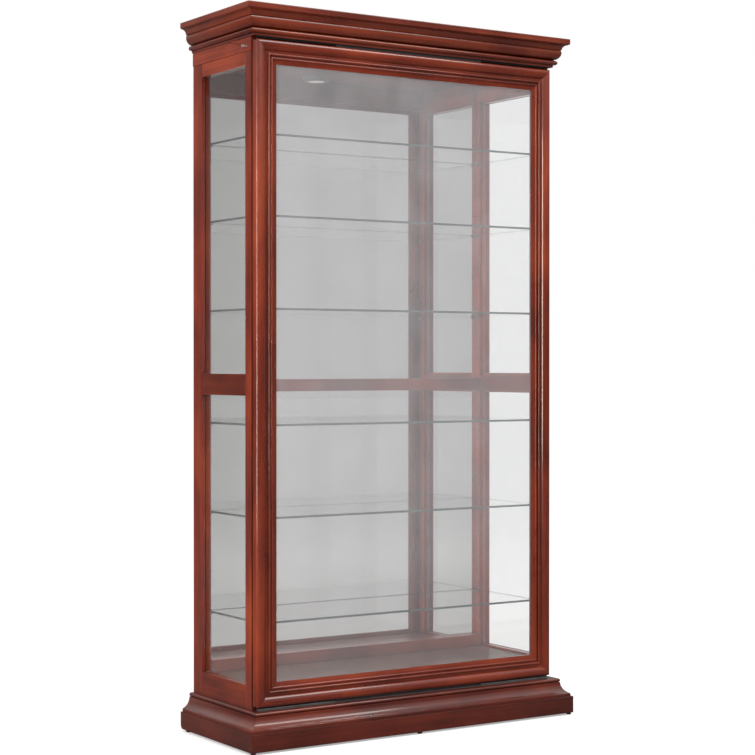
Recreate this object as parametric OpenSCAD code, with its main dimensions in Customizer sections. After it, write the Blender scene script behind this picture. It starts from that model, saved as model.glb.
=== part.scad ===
// Tall curio cabinet with a two-way sliding glass front.
// Origin: centre of the footprint on the floor. +Z is up, -Y is the front, +X is the right-hand side.

/* [Overall] */
// Overall width, over the plinth and the crown
overall_w = 1105; // [850:1:1400]
// Overall depth, back plane to the front of the plinth
overall_d = 419; // [380:1:560]
// Overall height, floor to the top of the crown
overall_h = 2032; // [1690:1:2450]

/* [Carcass] */
// Overhang of the plinth and the crown beyond each side of the carcass
side_overhang = 42; // [36:0.5:60]
// Overhang of the plinth in front of the carcass
front_overhang = 76; // [70:0.5:110]
// Thickness of the posts and side rails, from the outer face to the inner face
side_t = 36.5; // [30:0.5:50]
// Depth of each front post, front to back
front_post_d = 35; // [30:0.5:60]
// Depth of each rear post, front to back
rear_post_d = 52.5; // [46:0.5:80]
// Height of each side's bottom rail
side_bottom_rail_h = 66; // [64:0.5:110]
// Height of each side's middle rail
side_mid_rail_h = 60; // [30:0.5:90]
// Height of each side's top rail
side_top_rail_h = 37; // [25:0.5:60]
// Thickness of the front header and the front bottom rail
front_rail_t = 20; // [16:0.5:28]
// Height of the header that shows below the ceiling
header_drop = 60; // [30:0.5:64]
// Height of the wooden rails that cross the back in front of the mirrors
back_rail_h = 36; // [20:0.5:60]
// Distance that the frieze boards stand proud of the side frames
frieze_proud = 2; // [0:0.5:4]
// Height of the frieze boards that shows below the crown
frieze_h = 38; // [20:0.5:60]
// Depth of the glazing rebates round the side panes
rebate_d = 8; // [6:0.5:10]
// Height of the centre line of the side middle rails above the plinth
mid_rail_rise = 941.5; // [800:0.5:1050]

/* [Panels] */
// Height of the deck's top above the base panel
deck_rise = 60; // [54:0.5:100]
// Thickness of the deck
deck_t = 18; // [12:0.5:25]
// Thickness of the base panel
base_panel_t = 18; // [15:0.5:25]
// Thickness of the ceiling panel
ceiling_t = 12; // [9:0.5:20]
// Thickness of the top dust panel
top_panel_t = 12; // [9:0.5:20]
// Depth from the crown's top edge down to the top panel
top_recess = 24; // [10:0.5:30]
// Thickness of the back panel
back_panel_t = 9; // [6:0.5:12]
// Distance from the back plane to the mirrors' front faces
mirror_inset = 24.5; // [20:0.5:40]

/* [Crown] */
// Height of the crown moulding
crown_h = 84; // [80:0.5:120]
// Distance of the crown's front behind the plinth's front
crown_set_back = 17; // [5:0.5:25]
// Height of the flat fillet at the top of the crown
crown_fillet_h = 17; // [10:0.5:24]
// Radius of the crown's hollow below the fillet
crown_cove_r = 14.5; // [8:0.5:15]
// Radius of the crown's round below the hollow
crown_ovolo_r = 21.5; // [14:0.5:22]
// Radius of the small bead at the bottom of the crown
crown_bead_r = 7; // [4:0.5:8]

/* [Base] */
// Height of the glides under the plinth
glide_h = 6; // [3:0.5:12]
// Radius of each glide
glide_r = 8; // [6:0.5:10]
// Height of the plinth boards
plinth_h = 49; // [40:0.5:90]
// Thickness of the plinth boards
plinth_t = 20; // [18:0.5:26]
// Rounding at the lower rear corner of each plinth side
plinth_corner_r = 13; // [5:0.5:20]
// Height of the base moulding above the plinth
base_mould_h = 52; // [52:0.5:80]
// Radius of the base moulding's nose
base_nose_r = 5.5; // [3:0.5:6]
// Radius of the base moulding's hollow
base_cove_r = 34.5; // [28:0.5:34.5]
// Width of the ledge on the base moulding that carries the base panel
base_ledge_w = 12; // [8:0.5:20]

/* [Glass] */
// Thickness of the side panes and the door's pane
pane_t = 5; // [3:0.5:6]
// Thickness of the mirrors
mirror_t = 5; // [3:0.5:6]
// Thickness of the glass shelves
shelf_t = 6; // [5:0.5:10]
// Width of the frame's lip outside each side pane
outer_lip = 10.5; // [6:0.5:14]
// Width of the strips that hold the side panes from inside
stop_w = 12; // [8:0.5:16]

/* [Shelves] */
// Pitch of the shelf-pin holes
pin_pitch = 32; // [32:1:32]
// Radius of the shelf-pin holes
pin_hole_r = 2.5; // [2.5:0.5:3]
// Depth of the shelf-pin holes
pin_hole_d = 12; // [8:0.5:14]
// Distance each pin stands out of its post
pin_reach = 10; // [8:0.5:14]
// Height of the lowest pin hole above the bottom rails
lower_hole_rise = 98.5; // [60:0.5:120]
// Height of the lowest upper pin hole above the middle rails
upper_hole_rise = 78; // [60:0.5:100]
// Gap between each shelf's front edge and the front of the carcass
shelf_set_back = 10; // [6:0.5:30]

/* [Door] */
// Difference between the carcass width and the door width
door_narrower = 4; // [0:0.5:10]
// Gap above and below the door
door_gap_z = 5; // [4:0.1:7]
// Gap between the door's back and the carcass front
door_gap_y = 3; // [2:0.5:6]
// Thickness of the door frame at its thickest
door_t = 22.5; // [22:0.5:28]
// Width of the door's stiles and rails
door_frame_w = 68.5; // [68.5:0.5:90]
// Travel of the door each way from the middle
door_travel = 480; // [300:5:480]

/* [Door slides] */
// Gap between each end of a slide's rails and the door's edge
slide_end_gap = 8.5; // [4:0.5:12]
// Rail left beyond the middle member at full travel
slide_end_margin = 10; // [4:1:14]
// Middle member left beyond the ball cages at full travel
cage_end_margin = 30; // [10:1:40]
// Distance between balls along a cage
ball_pitch = 20; // [16:1:30]
// Radius of the balls
ball_r = 1.4; // [1.2:0.1:1.5]
// Height of each rail
slide_rail_h = 4.4; // [4.2:0.1:4.6]
// Overall height of a closed slide
slide_stack_h = 12; // [12:0.1:13]
// Overall width of a slide
slide_w = 15; // [15:0.1:16]

/* [Light and switch] */
// Radius of the puck light
puck_r = 40; // [30:0.5:50]
// Height of the puck light
puck_h = 19; // [14:0.5:30]
// Radius of the puck light's lens
lens_r = 25; // [15:0.5:28]
// Travel of the switch button
button_travel = 3; // [1:0.5:4]
// Radius of the switch button
button_r = 3.2; // [2.5:0.1:4]
// Distance of the switch behind the carcass front
switch_back = 38; // [25:0.5:60]

/* [Hidden] */
$fn = 64;

// Small distances: a clearance between pieces that fit, and an overshoot for cuts
fit = 0.2;
over = 1;

// Plan of the carcass
half_w = overall_w / 2;
back_y = overall_d / 2;
plinth_front_y = -overall_d / 2;
carcass_x = half_w - side_overhang;
carcass_front_y = plinth_front_y + front_overhang;
inner_x = carcass_x - side_t;
front_post_back_y = carcass_front_y + front_post_d;
rear_post_front_y = back_y - rear_post_d;
mirror_y = back_y - mirror_inset;
crown_front_y = plinth_front_y + crown_set_back;
frieze_x = carcass_x + frieze_proud;
crown_d = half_w - frieze_x;

// Levels, from the floor up
plinth_z = glide_h;
mould_z = plinth_z + plinth_h;
base_z = mould_z + base_mould_h;
deck_z = base_z + deck_rise;
sill_z = base_z + side_bottom_rail_h;
mid_z = mould_z + mid_rail_rise;
crown_z = overall_h - crown_h;
frieze_z = crown_z - frieze_h;
lintel_z = frieze_z - side_top_rail_h;
top_panel_z = overall_h - top_recess - top_panel_t;
ceiling_z = crown_z;
door_mid_z = (base_z + crown_z) / 2;

// Side panes, in the rebates behind the outer lip
pane_x = carcass_x - outer_lip - pane_t;
pane_edge = rebate_d - 1;

// Shelf-pin holes: a lower and an upper column in each post, filled up to a margin below the rail.
// Each shelf sits in the hole nearest to its share of the column, from the top shelf down.
column_margin = 50;
lower_hole_z = sill_z + lower_hole_rise;
upper_hole_z = mid_z + side_mid_rail_h / 2 + upper_hole_rise;
lower_steps = floor((mid_z - side_mid_rail_h / 2 - lower_hole_z - column_margin) / pin_pitch);
upper_steps = floor((lintel_z - upper_hole_z - column_margin) / pin_pitch);
shelf_share = [0.82, 0.5, 0.14, 0.95, 0.55, 0.1];
upper_shelves = 3;
front_pin_inset = 16;
rear_pin_inset = 11;
front_pin_y = carcass_front_y + front_pin_inset;
rear_pin_y = mirror_y - rear_pin_inset;
shelf_front_y = carcass_front_y + shelf_set_back;
function pin_z(n) = n <= upper_shelves
  ? upper_hole_z + round(shelf_share[n - 1] * upper_steps) * pin_pitch
  : lower_hole_z + round(shelf_share[n - 1] * lower_steps) * pin_pitch;

// Door
door_x = carcass_x - door_narrower / 2;
door_back_y = carcass_front_y - door_gap_y;
door_front_y = door_back_y - door_t;
door_z = base_z + door_gap_z;
door_h = crown_z - base_z - 2 * door_gap_z;
groove_d = 9;
glass_back = 4;

// Slides: one above and one below the door, on one line
slide_gap = 0.5;
slide_y = door_back_y - slide_gap - slide_w / 2;
slide_len = 2 * (door_x - slide_end_gap);
carriage_len = slide_len - door_travel - 2 * slide_end_margin;
cage_len = carriage_len - door_travel / 2 - 2 * cage_end_margin;
slide_foot_w = slide_w - 1;
slide_foot_t = 1.2;
slide_head_w = 6.8;
race_y = 4.45;
race_r = ball_r + fit;
race_h = 2.8;
jaw_t = (slide_w - 11) / 2;
jaw_z = slide_foot_t + 0.4;
web_t = 1.6;
cage_t = 0.8;
cage_plate_t = 0.4;

// Switch
switch_y = carcass_front_y + switch_back;
switch_rise = 16.5;
switch_z = frieze_z + switch_rise;
barrel_r = 4.4;
nut_r = 5.5;
nut_t = 2.5;
button_out = 5;
switch_box = [17, 22, 26];
pocket_gap = 1;
pocket_wall = 6.5;
switch_box_x = -inner_x - pocket_wall - pocket_gap - switch_box[0];

wood = "#6b2a20";
wood_dark = "#54221b";
panel_wood = "#7a5a44";
glass_colour = "#a9c4bd";
mirror_colour = "#c9ced0";
steel = "#b9bcc0";
black_steel = "#34363a";
glide_colour = "#26221f";
lens_colour = "#f4f1e6";

// ---------- helpers ----------

// A block given by its low and high corners
module block(low, high) {
  translate(low) cube(high - low);
}

// The right-hand copy of a left-hand piece
module to_right() {
  mirror([1, 0, 0]) children();
}

// The upper copy of a piece at the door's lower edge
module to_top() {
  translate([0, 0, 2 * door_mid_z]) mirror([0, 0, 1]) children();
}

// Run a section along X: its x goes up from z, its y comes forward from y
module run_along_x(len, y, z) {
  translate([0, y, z]) mirror([0, 1, 0]) mirror([0, 0, 1]) rotate([0, 90, 0])
    linear_extrude(len, center = true) children();
}

// A post or rail is cut back by this rebate, which is open to the inside of the cabinet
module pane_rebates() {
  for (z = [[sill_z, mid_z - side_mid_rail_h / 2], [mid_z + side_mid_rail_h / 2, lintel_z]])
    block([-carcass_x + outer_lip, front_post_back_y - rebate_d, z[0] - rebate_d],
          [-inner_x + over, rear_post_front_y + rebate_d, z[1] + rebate_d]);
}

// ---------- base ----------

// Left plinth board in plan, mitred at the front corner
module plinth_side_plan() {
  polygon([[-half_w, back_y], [-half_w, plinth_front_y], [-half_w + plinth_t, plinth_front_y + plinth_t],
           [-half_w + plinth_t, back_y]]);
}

module plinth_left() {
  color(wood_dark) difference() {
    translate([0, 0, plinth_z]) linear_extrude(plinth_h) plinth_side_plan();
    difference() {
      block([-half_w - over, back_y - plinth_corner_r, plinth_z - over],
            [-half_w + plinth_t + over, back_y + over, plinth_z + plinth_corner_r]);
      translate([-half_w - 2 * over, back_y - plinth_corner_r, plinth_z + plinth_corner_r])
        rotate([0, 90, 0]) cylinder(r = plinth_corner_r, h = plinth_t + 4 * over);
    }
  }
}

module plinth_right() { to_right() plinth_left(); }

module plinth_front() {
  color(wood_dark) translate([0, 0, plinth_z]) linear_extrude(plinth_h)
    polygon([[-half_w, plinth_front_y], [half_w, plinth_front_y],
             [half_w - plinth_t, plinth_front_y + plinth_t],
             [-half_w + plinth_t, plinth_front_y + plinth_t]]);
}

// The back board is notched at each end, under the side mouldings
module plinth_back() {
  color(wood_dark) union() {
    block([-half_w + plinth_t, back_y - plinth_t, plinth_z], [half_w - plinth_t, back_y, mould_z]);
    block([-half_w + base_mould_d, back_y - plinth_t, plinth_z],
          [half_w - base_mould_d, back_y, base_z - base_panel_t]);
  }
}

// Base moulding in section: x is the distance in from the outer face, y is the height
base_fillet = 6;
base_nose_x = side_overhang - 8.5;
base_cove_x = base_nose_x - 5.5 - base_cove_r;
base_cove_y = base_mould_h - 2 * base_nose_r - 0.5;
module base_section() {
  difference() {
    union() {
      translate([base_fillet, 0])
        square([side_overhang + base_ledge_w - base_fillet, base_mould_h - base_panel_t]);
      translate([base_nose_x, 0]) square([side_overhang - base_nose_x, base_mould_h]);
      translate([base_fillet, 0])
        square([base_nose_x - base_fillet, base_mould_h - 2 * base_nose_r]);
      translate([base_nose_x, base_mould_h - base_nose_r]) circle(base_nose_r);
    }
    translate([base_cove_x, base_cove_y]) circle(base_cove_r);
    translate([-over, base_cove_y]) square([base_nose_x - 4 + over, 1.2]);
  }
}

base_mould_d = side_overhang + base_ledge_w;

module base_mould_left() {
  color(wood) intersection() {
    translate([-half_w, back_y, mould_z]) rotate([90, 0, 0]) linear_extrude(overall_d) base_section();
    translate([0, 0, mould_z - over]) linear_extrude(base_mould_h + 2 * over)
      polygon([[-half_w - over, back_y + over], [-half_w - over, plinth_front_y - over],
               [-half_w + base_mould_d + over, plinth_front_y + base_mould_d + over],
               [-half_w + base_mould_d + over, back_y + over]]);
  }
}

module base_mould_right() { to_right() base_mould_left(); }

module base_mould_front() {
  color(wood) intersection() {
    translate([0, plinth_front_y, mould_z]) rotate([90, 0, 90])
      linear_extrude(overall_w, center = true) base_section();
    translate([0, 0, mould_z - over]) linear_extrude(base_mould_h + 2 * over)
      polygon([[-half_w - over, plinth_front_y - over], [half_w + over, plinth_front_y - over],
               [half_w - base_mould_d - over, plinth_front_y + base_mould_d + over],
               [-half_w + base_mould_d + over, plinth_front_y + base_mould_d + over]]);
  }
}

module base_panel() {
  color(wood_dark) block([-carcass_x, plinth_front_y + side_overhang, base_z - base_panel_t],
                         [carcass_x, back_y, base_z]);
}

// Nail-on glides: three under the front board, one under each side near the back, one at the back
glide_in = plinth_t / 2;
corner_glide_in = plinth_corner_r + glide_in + glide_r;
glide_places = [
  [-half_w + glide_in, plinth_front_y + glide_in], [0, plinth_front_y + glide_in],
  [half_w - glide_in, plinth_front_y + glide_in], [-half_w + glide_in, back_y - corner_glide_in],
  [0, back_y - glide_in], [half_w - glide_in, back_y - corner_glide_in]
];
module floor_glides() {
  color(glide_colour) for (place = glide_places)
    translate([place[0], place[1], 0]) cylinder(r = glide_r, h = glide_h);
}

// ---------- posts and side rails ----------

module pin_holes(y) {
  for (i = [0 : lower_steps])
    translate([-inner_x - pin_hole_d, y, lower_hole_z + i * pin_pitch]) rotate([0, 90, 0])
      cylinder(r = pin_hole_r, h = pin_hole_d + over);
  for (i = [0 : upper_steps])
    translate([-inner_x - pin_hole_d, y, upper_hole_z + i * pin_pitch]) rotate([0, 90, 0])
      cylinder(r = pin_hole_r, h = pin_hole_d + over);
}

module left_front_post() {
  color(wood) difference() {
    block([-carcass_x, carcass_front_y, base_z], [-inner_x, front_post_back_y, frieze_z]);
    pane_rebates();
    pin_holes(front_pin_y);
  }
}

module right_front_post() { to_right() left_front_post(); }

// The rear post is rebated behind for the mirrors and the back panel
back_rebate = 9;
module left_rear_post() {
  color(wood) difference() {
    block([-carcass_x, rear_post_front_y, base_z], [-inner_x, back_y, frieze_z]);
    pane_rebates();
    pin_holes(rear_pin_y);
    block([-inner_x - back_rebate, mirror_y, base_z - over],
          [-inner_x + over, back_y + over, frieze_z + over]);
  }
}

module right_rear_post() { to_right() left_rear_post(); }

// A rail between the left front and rear posts
module side_rail(z0, z1) {
  color(wood) difference() {
    block([-carcass_x, front_post_back_y, z0], [-inner_x, rear_post_front_y, z1]);
    pane_rebates();
  }
}

module left_bottom_rail() { side_rail(base_z, sill_z); }
module left_mid_rail() { side_rail(mid_z - side_mid_rail_h / 2, mid_z + side_mid_rail_h / 2); }
module left_top_rail() { side_rail(lintel_z, frieze_z); }
module right_bottom_rail() { to_right() left_bottom_rail(); }
module right_mid_rail() { to_right() left_mid_rail(); }
module right_top_rail() { to_right() left_top_rail(); }

// Frieze board: caps the posts and carries the crown. The left one has the switch's pocket.
module frieze_board() {
  difference() {
    block([-frieze_x, carcass_front_y, frieze_z], [-inner_x, back_y, top_panel_z]);
    block([-inner_x - back_rebate, mirror_y, frieze_z - over],
          [-inner_x + over, back_y + over, top_panel_z + over]);
  }
}

module left_frieze() {
  color(wood) difference() {
    frieze_board();
    translate([-frieze_x - over, switch_y, switch_z]) rotate([0, 90, 0])
      cylinder(r = barrel_r + fit, h = switch_box_x + frieze_x + 2 * over);
    block([switch_box_x - pocket_gap, switch_y - switch_box[1] / 2 - pocket_gap,
           switch_z - switch_box[2] / 2 - pocket_gap],
          [switch_box_x + switch_box[0] + pocket_gap, switch_y + switch_box[1] / 2 + pocket_gap,
           top_panel_z + over]);
  }
}

module right_frieze() { color(wood) to_right() frieze_board(); }

// ---------- front and back rails, panels ----------

module front_bottom_rail() {
  color(wood) block([-inner_x, carcass_front_y, base_z],
                    [inner_x, carcass_front_y + front_rail_t, deck_z]);
}

// The header is rebated in front, and the door's top edge runs under its step
module front_header() {
  color(wood) union() {
    block([-inner_x, carcass_front_y, crown_z - header_drop],
          [inner_x, carcass_front_y + front_rail_t, top_panel_z]);
    block([-frieze_x, crown_front_y + crown_d, crown_z], [frieze_x, carcass_front_y, top_panel_z]);
  }
}

module back_rail(z0) {
  color(wood) block([-inner_x, rear_post_front_y, z0], [inner_x, mirror_y, z0 + back_rail_h]);
}

mirror_lap = 8;
back_mid_z = mid_z - 5;
module back_bottom_rail() { back_rail(deck_z); }
module back_mid_rail() { back_rail(back_mid_z - back_rail_h / 2); }

module mirror_pane(z0, z1) {
  color(mirror_colour)
    block([-inner_x - back_rebate + over, mirror_y, z0],
          [inner_x + back_rebate - over, mirror_y + mirror_t, z1]);
}

module lower_mirror() {
  mirror_pane(deck_z + back_rail_h - mirror_lap, back_mid_z - back_rail_h / 2 + mirror_lap);
}

module upper_mirror() {
  mirror_pane(back_mid_z + back_rail_h / 2 - mirror_lap, ceiling_z);
}

module back_panel() {
  color(panel_wood)
    block([-inner_x - back_rebate + over, mirror_y + mirror_t, base_z],
          [inner_x + back_rebate - over, mirror_y + mirror_t + back_panel_t, top_panel_z]);
}

module deck() {
  color(wood) block([-inner_x, carcass_front_y + front_rail_t, deck_z - deck_t],
                    [inner_x, mirror_y + mirror_t, deck_z]);
}

module ceiling_panel() {
  color(wood) block([-inner_x, carcass_front_y + front_rail_t, ceiling_z],
                    [inner_x, mirror_y + mirror_t, ceiling_z + ceiling_t]);
}

module top_panel() {
  color(panel_wood) block([-frieze_x, crown_front_y + crown_d, top_panel_z],
                          [frieze_x, back_y, top_panel_z + top_panel_t]);
}

// ---------- crown ----------

// Crown moulding in section: x is the distance in from the outer face, y is the height
crown_fillet_y = crown_h - crown_fillet_h;
crown_edge_r = 2.5;
module crown_section() {
  ovolo_y = crown_bead_r * 2 + 7 + crown_ovolo_r;
  difference() {
    union() {
      translate([crown_edge_r, crown_fillet_y]) square([crown_d - crown_edge_r, crown_fillet_h]);
      translate([0, crown_fillet_y + crown_edge_r]) square([2 * crown_edge_r, crown_fillet_h - 2 * crown_edge_r]);
      translate([crown_edge_r, crown_fillet_y + crown_edge_r]) circle(crown_edge_r);
      translate([crown_edge_r, crown_h - crown_edge_r]) circle(crown_edge_r);
      translate([crown_d, ovolo_y]) intersection() {
        circle(crown_ovolo_r);
        translate([-crown_ovolo_r, -crown_ovolo_r]) square([crown_ovolo_r, 2 * crown_ovolo_r]);
      }
      translate([3.5, crown_fillet_y - crown_cove_r - 1]) square([crown_d - 3.5, crown_cove_r + 1.5]);
      translate([crown_d - 3, 0]) square([3, crown_h / 2]);
      translate([crown_d - 6, crown_bead_r + 6.5]) circle(crown_bead_r);
    }
    translate([3.5, crown_fillet_y - crown_cove_r - 1]) circle(crown_cove_r);
    translate([crown_d, -over]) square([crown_bead_r + over, crown_h]);
  }
}

module crown_left() {
  color(wood) intersection() {
    translate([-half_w, back_y, crown_z]) rotate([90, 0, 0])
      linear_extrude(back_y - crown_front_y) crown_section();
    translate([0, 0, crown_z - over]) linear_extrude(crown_h + 2 * over)
      polygon([[-half_w - over, back_y + over], [-half_w - over, crown_front_y - over],
               [-half_w + crown_d + over, crown_front_y + crown_d + over],
               [-half_w + crown_d + over, back_y + over]]);
  }
}

module crown_right() { to_right() crown_left(); }

module crown_front() {
  color(wood) intersection() {
    translate([0, crown_front_y, crown_z]) rotate([90, 0, 90])
      linear_extrude(overall_w, center = true) crown_section();
    translate([0, 0, crown_z - over]) linear_extrude(crown_h + 2 * over)
      polygon([[-half_w - over, crown_front_y - over], [half_w + over, crown_front_y - over],
               [half_w - crown_d - over, crown_front_y + crown_d + over],
               [-half_w + crown_d + over, crown_front_y + crown_d + over]]);
  }
}

// ---------- side glass ----------

module side_pane(z0, z1) {
  color(glass_colour, 0.35)
    block([-pane_x - pane_t, front_post_back_y - pane_edge, z0 - pane_edge],
          [-pane_x, rear_post_front_y + pane_edge, z1 + pane_edge]);
}

module left_lower_glass() { side_pane(sill_z, mid_z - side_mid_rail_h / 2); }
module left_upper_glass() { side_pane(mid_z + side_mid_rail_h / 2, lintel_z); }
module right_lower_glass() { to_right() left_lower_glass(); }
module right_upper_glass() { to_right() left_upper_glass(); }

// Strips round the inside of one left pane: two upright, two level between them
module stop_frame(z0, z1) {
  y0 = front_post_back_y - rebate_d;
  y1 = rear_post_front_y + rebate_d;
  for (y = [y0, y1 - rebate_d])
    block([-pane_x, y, z0 - rebate_d], [-pane_x + stop_w, y + rebate_d, z1 + rebate_d]);
  for (z = [z0 - rebate_d, z1])
    block([-pane_x, y0 + rebate_d, z], [-pane_x + stop_w, y1 - rebate_d, z + rebate_d]);
}

module side_glass_stops() {
  color(wood) for (side = [0, 1]) mirror([side, 0, 0]) {
    stop_frame(sill_z, mid_z - side_mid_rail_h / 2);
    stop_frame(mid_z + side_mid_rail_h / 2, lintel_z);
  }
}

// ---------- shelves ----------

module glass_shelf(n) {
  z = pin_z(n) + pin_hole_r;
  color(glass_colour, 0.35)
    block([-inner_x + 2, shelf_front_y, z], [inner_x - 2, mirror_y - 2, z + shelf_t]);
}

module shelf_1() { glass_shelf(1); }
module shelf_2() { glass_shelf(2); }
module shelf_3() { glass_shelf(3); }
module shelf_4() { glass_shelf(4); }
module shelf_5() { glass_shelf(5); }
module shelf_6() { glass_shelf(6); }

// Plain steel pegs, four under each shelf
pin_end_gap = 2;
module shelf_pins() {
  color(steel) for (n = [1 : 6], y = [front_pin_y, rear_pin_y], side = [0, 1])
    mirror([side, 0, 0])
      translate([-inner_x - pin_hole_d + pin_end_gap, y, pin_z(n)]) rotate([0, 90, 0])
        cylinder(r = pin_hole_r, h = pin_hole_d - pin_end_gap + pin_reach);
}

// ---------- light and switch ----------

// The housing is a shallow cup; the lens drops in from above and its rim rests on the cup's floor
light_y = -3;
cup_wall = 2.5;
lens_rim = 2;
module light_housing() {
  color(steel) translate([0, light_y, ceiling_z - puck_h]) difference() {
    cylinder(r = puck_r, h = puck_h);
    translate([0, 0, -over]) cylinder(r = lens_r + fit, h = cup_wall + 2 * over);
    translate([0, 0, cup_wall]) cylinder(r = puck_r - cup_wall, h = puck_h - 2 * cup_wall);
  }
}

module light_lens() {
  color(lens_colour) translate([0, light_y, ceiling_z - puck_h]) {
    translate([0, 0, 0.5]) cylinder(r = lens_r, h = cup_wall);
    translate([0, 0, cup_wall]) cylinder(r = lens_r + lens_rim, h = 1);
  }
}

// Switch: a box in the frieze's pocket, a threaded barrel through the board and a nut outside
button_collar_t = 1.5;
button_collar_r = button_r + 1.3;
button_bore_r = button_r + fit;
cavity_len = button_travel + button_collar_t + 3;
module switch_body() {
  color(steel) difference() {
    union() {
      translate([switch_box_x, switch_y - switch_box[1] / 2, switch_z - switch_box[2] / 2]) cube(switch_box);
      translate([-frieze_x - nut_t, switch_y, switch_z]) rotate([0, 90, 0])
        cylinder(r = barrel_r, h = switch_box_x + frieze_x + nut_t + over);
      translate([-frieze_x - nut_t, switch_y, switch_z]) rotate([0, 90, 0]) cylinder(r = nut_r, h = nut_t);
    }
    translate([-frieze_x - nut_t - over, switch_y, switch_z]) rotate([0, 90, 0])
      cylinder(r = button_bore_r, h = switch_box_x + frieze_x + nut_t + 2 * over);
    translate([switch_box_x + over, switch_y, switch_z]) rotate([0, 90, 0])
      cylinder(r = button_collar_r + 0.3, h = cavity_len);
  }
}

module switch_button() {
  color(steel) translate([-frieze_x - nut_t - button_out, switch_y, switch_z]) rotate([0, 90, 0]) {
    cylinder(r = button_r, h = switch_box_x + frieze_x + nut_t + button_out + over + 0.3 + button_collar_t);
    translate([0, 0, switch_box_x + frieze_x + nut_t + button_out + over + 0.3])
      cylinder(r = button_collar_r, h = button_collar_t);
  }
}

// ---------- door slides ----------

// Sections of the lower slide: x is the height above the base panel, y is across the slide
module rail_section() {
  difference() {
    union() {
      translate([0, -slide_foot_w / 2]) square([slide_foot_t, slide_foot_w]);
      translate([0, -slide_head_w / 2]) square([slide_rail_h, slide_head_w]);
    }
    for (s = [-1, 1]) translate([race_h, s * race_y]) circle(race_r);
  }
}

module carriage_section() {
  difference() {
    translate([jaw_z, -slide_w / 2]) square([slide_stack_h - 2 * jaw_z, slide_w]);
    translate([0, -slide_w / 2 + jaw_t])
      square([slide_stack_h / 2 - web_t / 2, slide_w - 2 * jaw_t]);
    translate([slide_stack_h / 2 + web_t / 2, -slide_w / 2 + jaw_t])
      square([slide_stack_h / 2, slide_w - 2 * jaw_t]);
    for (s = [-1, 1], h = [race_h, slide_stack_h - race_h])
      translate([h, s * race_y]) circle(race_r);
  }
}

// One cage: two strips joined over the rail, with a row of balls in each
module cage() {
  run_along_x(cage_len, slide_y, base_z) {
    for (s = [-1, 1])
      translate([slide_foot_t + 0.6, s * race_y - cage_t / 2])
        square([slide_rail_h + 2 * fit + cage_plate_t - slide_foot_t - 0.6 - fit, cage_t]);
    translate([slide_rail_h + fit, -race_y - cage_t / 2])
      square([cage_plate_t, 2 * race_y + cage_t]);
  }
  for (s = [-1, 1], x = [-cage_len / 2 + ball_pitch / 2 : ball_pitch : cage_len / 2 - ball_pitch / 2])
    translate([x, slide_y + s * race_y, base_z + race_h]) sphere(ball_r, $fn = 24);
}

// The door's half of a slide is the cabinet's half turned over
module turned_over() {
  translate([0, 0, 2 * base_z + slide_stack_h]) mirror([0, 0, 1]) children();
}

module lower_rail() {
  run_along_x(slide_len, slide_y, base_z) rail_section();
}

module slide_cabinet_rails() {
  color(steel) { lower_rail(); to_top() lower_rail(); }
}

module slide_cabinet_cages() {
  color(steel) { cage(); to_top() cage(); }
}

module lower_carriage() {
  run_along_x(carriage_len, slide_y, base_z) carriage_section();
}

module slide_carriages() {
  color(black_steel) { lower_carriage(); to_top() lower_carriage(); }
}

module slide_door_cages() {
  color(steel) { turned_over() cage(); to_top() turned_over() cage(); }
}

module slide_door_rails() {
  color(steel) { turned_over() lower_rail(); to_top() turned_over() lower_rail(); }
}

// ---------- door ----------

// Door frame in section: x is the distance in from the outer edge, y is forward from the back.
// From the outer edge inward: a broad half-round, a groove, two beads that step down towards the
// pane, and a sloping sight edge.
torus_r = 18;
torus_x = 17;
groove_drop = 9;
bead_x = 43;
bead_r = 3;
bead_drop = 3.5;
small_bead_x = 53;
small_bead_r = 3;
small_bead_drop = 6;
sight_lip = 1.5;
module door_section() {
  bead_y = door_t - bead_drop - bead_r;
  small_bead_y = door_t - small_bead_drop - small_bead_r;
  slope_x = small_bead_x + small_bead_r - 1;
  difference() {
    union() {
      intersection() {
        translate([torus_x, door_t - torus_r]) circle(torus_r);
        square([2 * torus_x, door_t]);
      }
      translate([torus_x, 0]) square([bead_x - torus_x, door_t - groove_drop]);
      translate([bead_x - bead_r, 0]) square([2 * bead_r, bead_y]);
      translate([bead_x, bead_y]) circle(bead_r);
      translate([bead_x, 0]) square([small_bead_x + small_bead_r - bead_x, small_bead_y]);
      translate([small_bead_x, small_bead_y]) circle(small_bead_r);
      polygon([[slope_x, 0], [door_frame_w, 0], [door_frame_w, glass_back + pane_t + sight_lip],
               [slope_x, small_bead_y]]);
    }
    translate([door_frame_w - groove_d, glass_back - fit]) square([groove_d + over, pane_t + 2 * fit]);
  }
}

// Channels for the slides along the door's lower and upper edges
module slide_channels() {
  block([-door_x - over, slide_y - slide_w / 2 - slide_gap, door_z - over],
        [door_x + over, door_back_y + over, base_z + slide_stack_h]);
  to_top() block([-door_x - over, slide_y - slide_w / 2 - slide_gap, door_z - over],
                 [door_x + over, door_back_y + over, base_z + slide_stack_h]);
}

module door_left_stile() {
  color(wood) difference() {
    intersection() {
      translate([-door_x, door_back_y, door_z]) mirror([0, 1, 0]) linear_extrude(door_h) door_section();
      translate([0, door_back_y + over, 0]) rotate([90, 0, 0]) linear_extrude(door_t + 2 * over)
        polygon([[-door_x - over, door_z - over], [-door_x + door_frame_w, door_z + door_frame_w],
                 [-door_x + door_frame_w, door_z + door_h - door_frame_w],
                 [-door_x - over, door_z + door_h + over]]);
    }
    slide_channels();
  }
}

module door_right_stile() { to_right() door_left_stile(); }

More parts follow.
